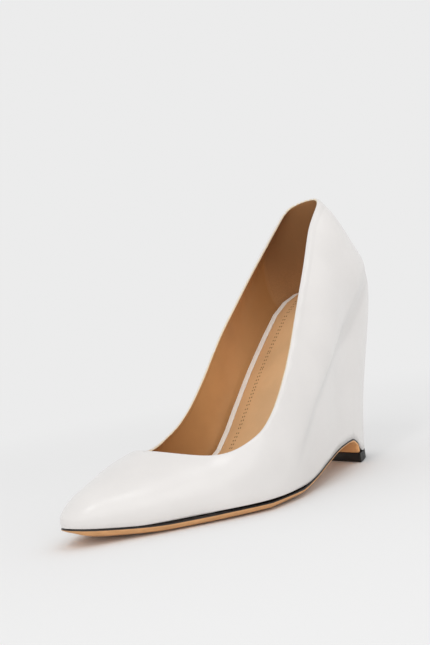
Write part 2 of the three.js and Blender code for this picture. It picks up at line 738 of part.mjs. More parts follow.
// Outline of the foot bed inside the leather, from the back to the toe
function footOutline(inset) {
  const places = [];
  [...backTurns()].reverse().forEach((turn, k) => {
    const z = meet((level) => backPoint(turn, level), footBed, 0, OVER_BED);
    const point = backPoint(turn, z);
    places.push(k === 0 ? { along: point.along, half: 0 } : point);
  });
  const start = places[places.length - 1].along;
  for (let k = 1; k < BED_STEPS; k += 1) {
    const along = mix(start, THROAT_FRONT, k / BED_STEPS);
    places.push({ along, half: bodyHalf(along, footBed(along)) });
  }
  for (const along of toePlaces(THROAT_FRONT)) {
    places.push({ along, half: along >= LENGTH ? 0 : bodyHalf(along, footBed(along)) });
  }
  return places.map((here, k) => {
    const before = places[Math.max(k - 1, 0)];
    const after = places[Math.min(k + 1, places.length - 1)];
    const run = new THREE.Vector2(after.along - before.along, after.half - before.half);
    if (here.half === 0) run.set(0, k === 0 ? 1 : -1);
    run.normalize();
    return {
      along: here.along + inset * run.y,
      half: here.half === 0 ? 0 : Math.max(here.half - inset * run.x, 0),
    };
  });
}

// Width of the insole's binding, narrower under the vamp
function bindingAt(along) {
  return mix(BINDING_WIDTH, BINDING_TOE_WIDTH, ease((along - THROAT_FRONT) / VAMP_LENGTH));
}

// The insole has a raised binding round a recess for the sock
function insoleGeometry() {
  const floor = -INSOLE_THICKNESS;
  const rim = floor - GAP - SOCK_THICKNESS;
  const layersAt = (along) => [
    { inset: bindingAt(along), depth: floor },
    { inset: bindingAt(along), depth: rim },
    { inset: 0, depth: rim },
    { inset: 0, depth: 0 },
  ];
  return plateGeometry(footOutline(WALL + GAP + INSOLE_INSET), footBed, layersAt);
}

function sockGeometry() {
  const low = -INSOLE_THICKNESS - GAP;
  const layersAt = (along) => [
    { inset: bindingAt(along) + GAP, depth: low },
    { inset: bindingAt(along) + GAP, depth: low - SOCK_THICKNESS },
  ];
  return plateGeometry(footOutline(WALL + GAP + INSOLE_INSET), footBed, layersAt);
}

// The walked-on top piece, a D in plan with a flat front
function topPieceGeometry() {
  const piece = new Surface();
  const turns = backTurns().filter((turn) => turn >= cornerTurn()).reverse();
  const levels = [
    { z: 0, inset: TOP_PIECE_CHAMFER },
    { z: TOP_PIECE_CHAMFER, inset: 0 },
    { z: TOP_PIECE_HEIGHT, inset: 0 },
  ];
  const places = turns.map((turn) => backPoint(turn, BASE_TOP));
  places.push({ along: BASE_FRONT, half: halfAt(BASE_FRONT, BASE_TOP) });
  const rings = places.map((place, k) => {
    const isBack = k === 0;
    const isFront = k === places.length - 1;
    const side = (sign) => levels.map(({ z, inset }) => {
      let along = place.along;
      if (isFront) along -= inset;
      else along += inset * Math.sin(turns[k]);
      const half = isBack ? 0 : place.half - inset * (isFront ? 1 : Math.cos(turns[k]));
      return piece.point(along, middleAt(place.along) + sign * half, z);
    });
    return { near: side(1), far: side(-1) };
  });
  for (let i = 0; i + 1 < rings.length; i += 1) {
    const here = rings[i];
    const next = rings[i + 1];
    const top = levels.length - 1;
    piece.strip(here.near, next.near);
    piece.strip(next.far, here.far);
    piece.quad(here.near[0], next.near[0], next.far[0], here.far[0]);
    piece.quad(next.near[top], here.near[top], here.far[top], next.far[top]);
  }
  const front = rings[rings.length - 1];
  piece.strip(front.near, front.far);
  return piece.geometry();
}

function leather(color, roughness) {
  return new THREE.MeshStandardMaterial({ color, roughness, metalness: 0 });
}

function namedMesh(name, geometry, material) {
  const mesh = new THREE.Mesh(geometry, material);
  mesh.name = name;
  return mesh;
}

const stations = leatherStations();
const pump = new THREE.Group();
pump.add(
  namedMesh('upper', upperGeometry(stations), leather(0xefece6, 0.42)),
  namedMesh('outsole', soleGeometry(), leather(0xb98454, 0.5)),
  namedMesh('wedge_heel', wedgeGeometry(), leather(0xcbb391, 0.8)),
  namedMesh('top_piece', topPieceGeometry(), leather(0x1d1b1a, 0.6)),
  namedMesh('insole', insoleGeometry(), leather(0xf0ece4, 0.5)),
  namedMesh('sock_lining', sockGeometry(), leather(0xb98a5c, 0.55)),
);

// The origin is under the middle of the shoe's box, on the floor
const box = new THREE.Box3().setFromObject(pump);
const centre = box.getCenter(new THREE.Vector3());
pump.position.set(-centre.x, -centre.y, -box.min.z);
pump.updateMatrixWorld(true);

export default pump;
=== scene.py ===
"""White leather wedge pump: smooth leathers, painted sole edge, lined inside and a pinholed sock."""

from math import exp, radians

import bmesh
import bpy
from bpy.props import FloatProperty, FloatVectorProperty, IntProperty, PointerProperty
from mathutils import Matrix, Vector
from mathutils.bvhtree import BVHTree
from mathutils.kdtree import KDTree


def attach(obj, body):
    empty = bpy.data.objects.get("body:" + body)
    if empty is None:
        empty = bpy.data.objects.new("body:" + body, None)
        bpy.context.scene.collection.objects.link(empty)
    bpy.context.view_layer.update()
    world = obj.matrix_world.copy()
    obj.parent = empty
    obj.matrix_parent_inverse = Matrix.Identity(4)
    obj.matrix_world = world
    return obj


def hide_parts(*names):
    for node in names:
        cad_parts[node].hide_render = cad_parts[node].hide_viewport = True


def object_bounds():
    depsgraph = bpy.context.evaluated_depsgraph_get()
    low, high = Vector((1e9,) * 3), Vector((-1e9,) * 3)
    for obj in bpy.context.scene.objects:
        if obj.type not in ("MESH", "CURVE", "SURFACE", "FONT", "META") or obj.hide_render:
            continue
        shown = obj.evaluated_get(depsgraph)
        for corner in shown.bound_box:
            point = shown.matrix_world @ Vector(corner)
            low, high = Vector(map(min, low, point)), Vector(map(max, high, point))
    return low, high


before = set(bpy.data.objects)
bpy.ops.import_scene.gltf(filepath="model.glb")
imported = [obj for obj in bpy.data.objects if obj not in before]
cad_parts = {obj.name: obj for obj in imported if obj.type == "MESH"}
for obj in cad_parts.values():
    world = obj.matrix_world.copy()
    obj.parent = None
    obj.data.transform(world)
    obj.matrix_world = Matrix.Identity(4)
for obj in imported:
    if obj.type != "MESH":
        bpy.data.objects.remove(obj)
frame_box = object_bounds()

bl_info = {
    "name": "White wedge pump",
    "version": (1, 0, 0),
    "blender": (4, 5, 0),
    "location": "3D View > Sidebar > Shoe",
    "description": "Builds a white leather wedge pump and its studio over its fixed frame",
    "category": "Object",
}

MM = 0.001

# The shoe's own sizes: from the toe at -X to the back at +X, and the height of the seat at the back
TOE_X = frame_box[0][0]
SHOE_LENGTH = frame_box[1][0] - TOE_X
HEEL_HEIGHT = 96.2 * MM

# In a copied mesh, points closer than this are one point, and two triangles that bend and skew less
# than this are one quad
MERGE_REACH = 0.02 * MM
PAIRING_ANGLE = radians(60)

# Angles past which an edge is a rim of the upper, the border of the sole's top face, an edge of the
# sole that stays crisp, and the border of the sock's top face
RIM_ANGLE = radians(48)
SOLE_BORDER_ANGLE = radians(40)
SOLE_EDGE_ANGLE = radians(20)
SOCK_BORDER_ANGLE = radians(50)

# The sole's points and the sock's faces look up where their normals rise more than this
SOLE_TOP_LOOK = 0.4
SOCK_TOP_LOOK = 0.6

# How firmly subdivision keeps the upper's two rims, the sole's edges and the border of its top face,
# and Blender's own name for the layer that holds this
HOLD_LAYER = "crease_edge"
TOPLINE_HOLD = 0.45
BOTTOM_HOLD = 1.0
SOLE_HOLD = 0.7
SOLE_BORDER_HOLD = 0.95

# Rounded edges: width, segments, and the angle past which an edge is rounded
TOP_PIECE_BEVEL = (0.25 * MM, 3, radians(30))
INSOLE_BEVEL = (0.55 * MM, 4, radians(40))
SOCK_BEVEL = (0.3 * MM, 3, radians(40))

# Spacing of the places that distances are taken from, along the upper's rims and the sole's border
RIM_SPACING = 1.0 * MM
BORDER_SPACING = 0.4 * MM

# The topline starts well over this height, and the bottom rim under the sole's line reaches below it
BOTTOM_RIM_HEIGHT = 12 * MM

# The upper has an outer skin, a lining and at least two rims, and its materials are in order those of
# the skin, the lining and the topline's edge
UPPER_SURFACES = 4
LINING_INDEX = 1
EDGE_INDEX = 2

# Soft ridges (positive rise) and troughs (negative) pressed into the outer leather. Each runs
# along a path of places given as shares: (of the shoe's length from the toe, of the heel height), and
# fades out at both ends. width and rise are in millimetres, and lead is the width on the side towards
# the toe where that differs. side is -1 for the outer side of the foot and 1 for the inner side.
CREASES = [
    # Outer fold from the back down to the waist
    {
        "side": -1, "width": 4.5, "rise": -0.6,
        "path": [
            (1.01, 1.18), (0.909, 0.99), (0.864, 0.90), (0.817, 0.811), (0.718, 0.691),
            (0.638, 0.552), (0.579, 0.433), (0.52, 0.279), (0.481, 0.145), (0.46, 0.06),
        ],
    },
    # Outer swell ahead of the fold
    {
        "side": -1, "width": 7.5, "lead": 26.0, "rise": 2.4,
        "path": [
            (0.99, 1.21), (0.892, 1.025), (0.847, 0.935), (0.80, 0.846), (0.70, 0.724),
            (0.62, 0.588), (0.56, 0.47), (0.50, 0.315), (0.462, 0.18), (0.44, 0.09),
        ],
    },
    # Outer hollow behind the ankle
    {
        "side": -1, "width": 6.5, "rise": -0.9,
        "path": [(1.02, 1.16), (0.92, 1.02), (0.864, 0.90), (0.80, 0.79), (0.73, 0.70)],
    },
    # Outer pull towards the ball
    {
        "side": -1, "width": 6.0, "rise": -0.30,
        "path": [(0.47, 0.24), (0.38, 0.17), (0.29, 0.125)],
    },
    # Inner fold from the back down to the waist
    {
        "side": 1, "width": 6.5, "rise": -0.8,
        "path": [(0.97, 1.02), (0.82, 0.80), (0.67, 0.58), (0.57, 0.36), (0.52, 0.20)],
    },
    # Inner pull towards the ball
    {
        "side": 1, "width": 6.0, "rise": -0.25,
        "path": [(0.46, 0.25), (0.38, 0.18), (0.30, 0.13)],
    },
]

# Share of its length over which a crease fades at each end, and the sideways part of the leather's
# normal from which it acts in full
CREASE_FADE = 0.22
CREASE_FACING = 0.5

# The turned edge of the topline begins at this X, comes in over this length, and ends under the
# leather this far from the inner rim, where a faint line of painted shade runs along it
TURNED_START = 5 * MM
TURNED_FADE = 30 * MM
TURNED_LINE = 3.9 * MM

# Front edge of the heel grip inside: its middle height, its X there, and how it leans and bends
GRIP_MIDDLE = 108 * MM
GRIP_FRONT = 60.5 * MM
GRIP_LEAN = -0.10
GRIP_BEND = -12.0

# Rows of pinholes: the X of their toe end, the distance between two rows in hole radii, and the
# share of its inset that a pinhole keeps clear of the sock's edge
HOLE_START = -32 * MM
ROW_SPACING = 3.6
HOLE_CLEARANCE = 0.93

# One pinhole's plug: corners, depth, how far its middle lies under the surface, and stretch
HOLE_CORNERS = 6
HOLE_DEPTH = 0.07 * MM
HOLE_SINK = 0.015 * MM
HOLE_STRETCH = 1.25

# The search for the surface under a pinhole starts this far above it and wants a normal that rises
# this much, and each side of the sock's outline is searched in this many steps
HOLE_REACH = 20 * MM
HOLE_LOOK = 0.2
OUTLINE_STEPS = 8

# Noise mostly lies between these two values, round this middle
PATTERN_SPAN = (0.3, 0.7)
PATTERN_MIDDLE = 0.5

# Noise patterns of the materials: the size of their features, their detail, and how densely the
# features lie along X, Y and Z
PATTERNS = {
    "white clouds": {"size": 28 * MM, "detail": 3},
    "white fine marks": {"size": 2.2 * MM, "detail": 4},
    "white pulls": {"size": 14 * MM, "detail": 2, "stretch": (1, 1, 2)},
    "lining clouds": {"size": 22 * MM, "detail": 3},
    "nap": {"size": 0.7 * MM, "detail": 5},
    "edge fibres": {"size": 0.8 * MM, "detail": 3},
    "paint border": {"size": 3 * MM, "detail": 2},
    "sole streaks": {"size": 5 * MM, "detail": 4, "stretch": (0.25, 1.0, 1.6)},
    "sole wear": {"size": 9 * MM, "detail": 4},
    "sole scuffs": {"size": 0.9 * MM, "detail": 4, "stretch": (0.4, 1, 1)},
    "rubber dust": {"size": 4 * MM, "detail": 5},
    "rubber grain": {"size": 0.5 * MM, "detail": 4},
    "core clouds": {"size": 12 * MM, "detail": 3},
    "core grain": {"size": 1.5 * MM, "detail": 3},
    "binding clouds": {"size": 9 * MM, "detail": 3},
    "sock clouds": {"size": 18 * MM, "detail": 3},
    "sock fine marks": {"size": 1.6 * MM, "detail": 4},
    "pinhole fibres": {"size": 0.8 * MM, "detail": 2},
}

# How much lighter or darker than its leather each mark, painted shade or painted light is
SHADES = {
    "white clouds": 0.965,
    "white darkening at sole": 0.72,
    "white fold painted shade": 0.88,
    "white turned edge shade": 0.93,
    "lining clouds": 0.88,
    "nap": 1.16,
    "grip top painted shade": 0.83,
    "grip seam": 0.55,
    "grip stitches": 0.7,
    "edge fibres": 0.85,
    "sole streaks": 0.80,
    "sole wear": 1.25,
    "sole arch painted light": 1.4,
    "binding clouds": 0.94,
    "sock clouds": 0.90,
    "pinhole depth": 0.38,
    "pinhole rim": 0.52,
}

# Depths of the bumps, in metres
BUMPS = {
    "white pulls": 0.10 * MM,
    "white pores": 0.006 * MM,
    "white fine marks": 0.014 * MM,
    "lining grain": 0.012 * MM,
    "nap": 0.05 * MM,
    "grip step": 0.3 * MM,
    "edge fibres": 0.02 * MM,
    "sole streaks": 0.05 * MM,
    "sole scuffs": 0.02 * MM,
    "rubber grain": 0.03 * MM,
    "core grain": 0.05 * MM,
    "binding grain": 0.01 * MM,
    "sock grain": 0.016 * MM,
    "sock fine marks": 0.02 * MM,
}

# Values that are the same all over a material, on its shader's own sockets
FINISHES = {
    "white_leather": {"Coat Weight": 0.75, "Coat Roughness": 0.27},
    "tan_lining": {"Specular IOR Level": 0.4},
    "topline_edge": {"Roughness": 0.5},
    "sole_leather": {"Specular IOR Level": 0.35, "Coat Weight": 0.03, "Coat Roughness": 0.3},
    "black_rubber": {"Specular IOR Level": 0.4},
    "wedge_core": {"Roughness": 0.6},
    "insole_binding": {"Roughness": 0.5},
    "pinhole": {"Roughness": 0.9},
}

# The Mix node's sockets for two colours and their mix, whose names its other sockets share
MIX_FIRST = 6
MIX_SECOND = 7
MIX_RESULT = 2

# White leather: spans of noise that make its clouds, its darkening towards the sole and its gloss, how
# its roughness varies, how high and strong the darkening is at the sole, and the depth and strength of
# the painted shade in a fold
WHITE_CLOUD_SPAN = (0.35, 0.7)
SOLE_DARKENING_SPAN = (0.3, 0.75)
GLOSS_SPAN = (0.25, 0.75)
GLOSS_SPREAD = (-0.05, 0.06)
SOLE_DARKENING_HEIGHT = 3.5 * MM
SOLE_DARKENING_SHARE = 0.30
FOLD_DEPTH = 0.9 * MM
FOLD_SHARE = 0.85

# The turned edge's faint line of painted shade: where it starts to fade and is gone beside its middle,
# and its strength
TURNED_LINE_SPAN = (0.3 * MM, 1.1 * MM)
TURNED_LINE_SHARE = 0.7

# Lining: spans along X over which it darkens with painted shade and some handling, at the throat and
# the back, with the strength at both ends, and the span of height over which the heel grip darkens
# with painted shade
THROAT_SHADE_AND_PATINA = (-30 * MM, 12 * MM, 0.9, 0.0)
BACK_SHADE_AND_PATINA = (25 * MM, 60 * MM, 0.0, 0.8)
GRIP_TOP_SHADE = (100 * MM, 125 * MM)

# Lining: half the width in which the nap begins, the seam there, the stitches beside the topline and
# its light edge. Spans fade from the first distance to the second
NAP_BORDER = 1.8 * MM
SEAM_SPAN = (0.15 * MM, 0.9 * MM)
SEAM_SHARE = 0.08
STITCH_LINE = 1.5 * MM
STITCH_SPAN = (0.1 * MM, 0.4 * MM)
STITCH_SHARE = 0.35
LIGHT_EDGE_SPAN = (0.1 * MM, 0.4 * MM)
LINING_ROUGHNESS = (0.42, 0.88)

# Across the wall's top edge the folded lining gives way to the white leather
WHITE_EDGE_SPAN = (0.8 * MM, 1.05 * MM)

# Sole: X where its painted edge is at its lower and at its full height, how far that edge wanders
# and how soft it is, worn patches, and the start and length of the painted light on the arch
PAINT_SPAN = (12 * MM, 0.0)
PAINT_WOBBLE = 0.14 * MM
PAINT_SOFTNESS = 0.10 * MM
WEAR_SPAN = (0.55, 0.75)
WEAR_SHARE = 0.35
ARCH_START = 58 * MM
ARCH_FADE = 12 * MM
SOLE_ROUGHNESS = (0.42, 0.38)

# Other pieces: the colours of paint, rubber and moulded plastic, dust on the rubber, and roughness
PAINT = (0.022, 0.017, 0.016)
RUBBER = (0.012, 0.0115, 0.011)
RUBBER_DUST = (0.035, 0.033, 0.031)
CORE = (0.62, 0.50, 0.36)
CORE_CLOUD = (0.55, 0.44, 0.31)
DUST_SPAN = (0.5, 0.8)
DUST_SHARE = 0.6
RUBBER_ROUGHNESS = (0.48, 0.66)
SOCK_ROUGHNESS = (0.40, 0.52)

# Camera: place in metres, turn in degrees about X, Y and Z, the lens over a 36 mm long side, and the
# nearest and furthest that it sees
CAMERA_PLACE = (-0.33054, -0.43661, 0.11263)
CAMERA_TURN = (87.704, 9.313, -36.894)
CAMERA_LENS = 59.387
CAMERA_SENSOR = 36.0
CAMERA_REACH = (0.01, 50.0)

# Soft lights: place, the point each faces, edge lengths in metres and power in watts
LIGHTS = [
    {
        "name": "key", "at": (0.10, -0.42, 1.15), "aim": (-0.02, 0.0, 0.03),
        "size": (0.30, 0.30), "power": 0.5,
    },
    {
        "name": "strip", "at": (-0.61, -0.41, 1.01), "aim": (-0.08, 0.0, 0.02),
        "size": (0.13, 0.44), "power": 1.2,
    },
    {
        "name": "left", "at": (-0.71, -1.02, 0.36), "aim": (0.0, 0.0, 0.05),
        "size": (1.5, 1.1), "power": 3.3,
    },
]

# The floor's size, and the distances from the shoe over which it turns into the sky's brightness
FLOOR_RADIUS = 6.0
FLOOR_CORNERS = 96
FLOOR_SPAN = (0.20, 0.50)


class ShoeLeather(bpy.types.PropertyGroup):
    """Colours and finish of the shoe's leathers."""

    white: FloatVectorProperty(
        name="White leather", description="Colour of the outer leather", subtype="COLOR",
        size=3, min=0, max=1, default=(0.792, 0.765, 0.745),
    )
    binding: FloatVectorProperty(
        name="Binding", description="Colour of the band round the sock", subtype="COLOR",
        size=3, min=0, max=1, default=(0.99, 0.985, 0.935),
    )
    lining: FloatVectorProperty(
        name="Lining", description="Colour of the smooth lining", subtype="COLOR",
        size=3, min=0, max=1, default=(0.655, 0.357, 0.150),
    )
    shaded_and_handled: FloatVectorProperty(
        name="Handled and shaded lining", description="Colour of the lining where it has darkened",
        subtype="COLOR", size=3, min=0, max=1, default=(0.38, 0.175, 0.058),
    )
    grip: FloatVectorProperty(
        name="Heel grip", description="Colour of the napped lining at the back", subtype="COLOR",
        size=3, min=0, max=1, default=(0.425, 0.215, 0.087),
    )
    sock: FloatVectorProperty(
        name="Sock", description="Colour of the sock", subtype="COLOR",
        size=3, min=0, max=1, default=(0.76, 0.472, 0.242),
    )
    edge: FloatVectorProperty(
        name="Topline edge", description="Colour of the lining's folded edge", subtype="COLOR",
        size=3, min=0, max=1, default=(0.86, 0.74, 0.55),
    )
    sole: FloatVectorProperty(
        name="Sole", description="Colour of the sole leather", subtype="COLOR",
        size=3, min=0, max=1, default=(0.70, 0.370, 0.160),
    )
    roughness: FloatProperty(
        name="Roughness", description="Roughness of the outer leather", subtype="FACTOR",
        min=0, max=1, default=0.36,
    )
    grain: FloatProperty(
        name="Grain", description="Width of one cell of the leather's grain", subtype="DISTANCE",
        unit="LENGTH", min=0.0001, default=0.7 * MM,
    )


class ShoeShape(bpy.types.PropertyGroup):
    """Sizes of the details that are added to the frame's shapes."""

    rounds: IntProperty(
        name="Rounds", description="Times that each leather surface is subdivided",
        min=1, max=3, default=2,
    )
    turned_edge: FloatProperty(
        name="Turned edge", description="Width of the leather that is turned in along the topline",
        subtype="DISTANCE", unit="LENGTH", default=2.9 * MM,
    )
    turned_rise: FloatProperty(
        name="Turned rise", description="How far the turned edge lifts the leather",
        subtype="DISTANCE", unit="LENGTH", default=0.32 * MM,
    )
    turned_slope: FloatProperty(
        name="Turned slope", description="Distance over which that rise falls away",
        subtype="DISTANCE", unit="LENGTH", default=1.3 * MM,
    )
    painted_band: FloatProperty(
        name="Painted band", description="Height of the sole's black edge under the ball",
        subtype="DISTANCE", unit="LENGTH", default=0.70 * MM,
    )
    painted_line: FloatProperty(
        name="Painted line", description="Height of the sole's black edge at waist and arch",
        subtype="DISTANCE", unit="LENGTH", default=0.60 * MM,
    )
    hole_inset: FloatProperty(
        name="Pinhole inset", description="Distance of the pinholes from the sock's edge",
        subtype="DISTANCE", unit="LENGTH", default=7.2 * MM,
    )
    hole_pitch: FloatProperty(
        name="Pinhole pitch", description="Distance from one pair of pinholes to the next",
        subtype="DISTANCE", unit="LENGTH", default=2.3 * MM,
    )
    hole_radius: FloatProperty(
        name="Pinhole radius", description="Radius of one pinhole",
        subtype="DISTANCE", unit="LENGTH", default=0.44 * MM,
    )


class ShoeStage(bpy.types.PropertyGroup):
    """Floor and sky."""

    sky: FloatProperty(
        name="Sky", description="Brightness of the even surroundings", min=0, default=0.838,
    )
    floor: FloatProperty(
        name="Floor", description="Share of the light that the floor sends back", subtype="FACTOR",
        min=0, max=1, default=0.865,
    )


# Meshes


def deselect():
    """Ends any edit mode and leaves nothing selected."""
    if bpy.context.object and bpy.context.object.mode != "OBJECT":
        bpy.ops.object.mode_set(mode="OBJECT")
    bpy.ops.object.select_all(action="DESELECT")


def only(piece):
    """Makes this the one selected and active object."""
    deselect()
    piece.select_set(True)
    bpy.context.view_layer.objects.active = piece


def node_copy(node, name, *materials):
    """A piece with a copy of a frame node's mesh, its points merged and its triangles paired."""
    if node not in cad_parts:
        raise RuntimeError(f"the frame has no node {node}")
    mesh = bpy.data.objects[node].data.copy()
    mesh.name = name
    mesh.materials.clear()
    for material in materials:
        mesh.materials.append(material)
    piece = bpy.data.objects.new(name, mesh)
    bpy.context.scene.collection.objects.link(piece)
    only(piece)
    bpy.ops.mesh.customdata_custom_splitnormals_clear()
    bpy.ops.object.mode_set(mode="EDIT")
    bpy.ops.mesh.select_all(action="SELECT")
    bpy.ops.mesh.remove_doubles(threshold=MERGE_REACH)
    bpy.ops.mesh.tris_convert_to_quads(face_threshold=PAIRING_ANGLE, shape_threshold=PAIRING_ANGLE)
    bpy.ops.mesh.normals_make_consistent(inside=False)
    bpy.ops.object.mode_set(mode="OBJECT")
    return piece


def bmesh_of(piece):
    """A bmesh of a piece's mesh, with a layer for how firmly subdivision keeps each edge.

    The layer is made first, because a new one drops every edge that is already held in a set.
    """
    mesh = bmesh.new()
    mesh.from_mesh(piece.data)
    if mesh.edges.layers.float.get(HOLD_LAYER) is None:
        mesh.edges.layers.float.new(HOLD_LAYER)
    return mesh


def sharp_edges(mesh, angle):
    """Edges of a bmesh that turn more than an angle."""
    pairs = (edge for edge in mesh.edges if len(edge.link_faces) == 2)
    return {edge for edge in pairs if edge.calc_face_angle() > angle}


def surfaces(mesh, angle):
    """Lists of a bmesh's faces that join without an edge that turns more than an angle."""
    sharp = sharp_edges(mesh, angle)
    waiting = set(mesh.faces)
    groups = []
    while waiting:
        group = [waiting.pop()]
        for face in group:
            for edge in set(face.edges) - sharp:
                beside = waiting.intersection(edge.link_faces)
                waiting -= beside
                group += beside
        groups.append(group)
    return groups


def shared_edges(first, second):
    """Edges between two sets of faces."""
    near = {edge for face in first for edge in face.edges}
    return {edge for face in second for edge in face.edges if edge in near}


def hold_edges(mesh, edges, firmness):
    """Sets how firmly subdivision keeps some edges of a bmesh."""
    layer = mesh.edges.layers.float[HOLD_LAYER]
    for edge in edges:
        edge[layer] = firmness


def subdivide(piece, rounds):
    """Applies subdivision to a piece and shades it smooth."""
    only(piece)
    bpy.ops.object.modifier_add(type="SUBSURF")
    modifier = piece.modifiers[-1]
    modifier.levels = rounds
    modifier.render_levels = rounds
    modifier.boundary_smooth = "PRESERVE_CORNERS"
    bpy.ops.object.modifier_apply(modifier=modifier.name)
    bpy.ops.object.shade_smooth()


def soften_edges(piece, width, segments, angle):
    """Applies a small bevel to a piece's edges."""
    only(piece)
    bpy.ops.object.modifier_add(type="BEVEL")
    modifier = piece.modifiers[-1]
    modifier.width = width
    modifier.segments = segments
    modifier.limit_method = "ANGLE"
    modifier.angle_limit = angle
    modifier.harden_normals = False
    bpy.ops.object.modifier_apply(modifier=modifier.name)
    bpy.ops.object.shade_smooth_by_angle(angle=angle)


def dense_path(edges, spacing):
    """Places along a set of bmesh edges, no further apart than a spacing."""
    places = []
    for edge in edges:
        start, end = (corner.co.copy() for corner in edge.verts)
        count = max(1, round((end - start).length / spacing))
        places += [start.lerp(end, k / count) for k in range(count)]
    return places


def search_tree(places):
    """A tree that finds the nearest of some places."""
    tree = KDTree(len(places))
    for index, place in enumerate(places):
        tree.insert(place, index)
    tree.balance()
    return tree


def distances(piece, places):
    """The distance of every point of a piece from the nearest of some places."""
    tree = search_tree(places)
    return [tree.find(point.co)[2] for point in piece.data.vertices]


def store(piece, name, values):
    """Stores a number at every point of a piece, for its materials."""
    piece.data.attributes.new(name, "FLOAT", "POINT").data.foreach_set("value", values)


def finish_piece(piece, slot, *nodes):
    """Lets a piece ride on the shoe's one body in place of its nodes."""
    deselect()
    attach(piece, "root")
    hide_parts(*nodes)


# Materials


def bare_material(name):
    """A material with nothing but its output: (material, tree, socket of its surface)."""
    material = bpy.data.materials.new(name)
    material.use_nodes = True
    tree = material.node_tree
    tree.nodes.clear()
    output = tree.nodes.new("ShaderNodeOutputMaterial")
    return material, tree, output.inputs["Surface"]


def new_material(name):
    """A material with its even finish: (material, tree, shader)."""
    material, tree, surface = bare_material(name)
    shader = tree.nodes.new("ShaderNodeBsdfPrincipled")
    tree.links.new(shader.outputs["BSDF"], surface)
    for socket, value in FINISHES.get(name, {}).items():
        shader.inputs[socket].default_value = value
    return material, tree, shader


def put(tree, value, socket):
    """Sets a socket, or links another node's output to it."""
    if isinstance(value, bpy.types.NodeSocket):
        tree.links.new(value, socket)
    elif socket.type == "RGBA" and len(value) == 3:
        socket.default_value = (*value, 1)
    else:
        socket.default_value = value


def object_place(tree):
    """The place on the object, in metres."""
    return tree.nodes.new("ShaderNodeTexCoord").outputs["Object"]


def part_of(tree, place, axis):
    """The X, Y or Z of a place."""
    apart = tree.nodes.new("ShaderNodeSeparateXYZ")
    tree.links.new(place, apart.inputs[0])
    return apart.outputs[axis]


def attribute(tree, name):
    """A number that the mesh stores at its points."""
    node = tree.nodes.new("ShaderNodeAttribute")
    node.attribute_name = name
    return node.outputs["Fac"]


def compute(tree, operation, first, second=0.0, clamp=False):
    """One step of arithmetic."""
    node = tree.nodes.new("ShaderNodeMath")
    node.operation = operation
    node.use_clamp = clamp
    put(tree, first, node.inputs[0])
    put(tree, second, node.inputs[1])
    return node.outputs[0]


def span(tree, value, start, end, low=0.0, high=1.0):
    """Maps start..end smoothly to low..high, level outside."""
    node = tree.nodes.new("ShaderNodeMapRange")
    node.interpolation_type = "SMOOTHSTEP"
    put(tree, value, node.inputs["Value"])
    put(tree, start, node.inputs["From Min"])
    put(tree, end, node.inputs["From Max"])
    put(tree, low, node.inputs["To Min"])
    put(tree, high, node.inputs["To Max"])
    return node.outputs["Result"]


def noise(tree, place, size, detail, stretch=(1, 1, 1)):
    """Cloudy noise with features of a size in metres."""
    mapping = tree.nodes.new("ShaderNodeMapping")
    mapping.inputs["Scale"].default_value = stretch
    tree.links.new(place, mapping.inputs["Vector"])
    node = tree.nodes.new("ShaderNodeTexNoise")
    tree.links.new(mapping.outputs["Vector"], node.inputs["Vector"])
    node.inputs["Scale"].default_value = 1 / size
    node.inputs["Detail"].default_value = detail
    return node.outputs["Fac"]


def cells(tree, place, size):
    """Distance to the border between leather grain cells of a size in metres."""
    node = tree.nodes.new("ShaderNodeTexVoronoi")
    node.feature = "DISTANCE_TO_EDGE"
    tree.links.new(place, node.inputs["Vector"])
    node.inputs["Scale"].default_value = 1 / size
    return node.outputs["Distance"]


def tint(tree, factor, first, second):
    """Mixes two colours."""
    node = tree.nodes.new("ShaderNodeMix")
    node.data_type = "RGBA"
    put(tree, factor, node.inputs[0])
    put(tree, first, node.inputs[MIX_FIRST])
    put(tree, second, node.inputs[MIX_SECOND])
    return node.outputs[MIX_RESULT]


def shade(colour, name):
    """A colour made lighter or darker as a mark, painted shade or painted light is."""
    return tuple(min(part * SHADES[name], 1) for part in colour)


def mottled(tree, pattern, colour, name):
    """A colour that turns to the shade of a mark where a pattern is high."""
    return tint(tree, span(tree, pattern, *PATTERN_SPAN), colour, shade(colour, name))


def bump(tree, height, name, under=None):
    """A bump of a named depth, over another bump or none."""
    node = tree.nodes.new("ShaderNodeBump")
    node.inputs["Distance"].default_value = BUMPS[name]
    put(tree, height, node.inputs["Height"])
    if under:
        tree.links.new(under, node.inputs["Normal"])
    return node.outputs["Normal"]


def turned_edge_shade(tree, place):
    """The faint line of painted shade along the quarters where the turned edge ends under the leather.
    """
    off = compute(tree, "SUBTRACT", attribute(tree, "topline_run"), TURNED_LINE)
    near = span(tree, compute(tree, "ABSOLUTE", off), *TURNED_LINE_SPAN, TURNED_LINE_SHARE, 0.0)
    back = span(tree, part_of(tree, place, "X"), TURNED_START, TURNED_START + TURNED_FADE)
    return compute(tree, "MULTIPLY", near, back)


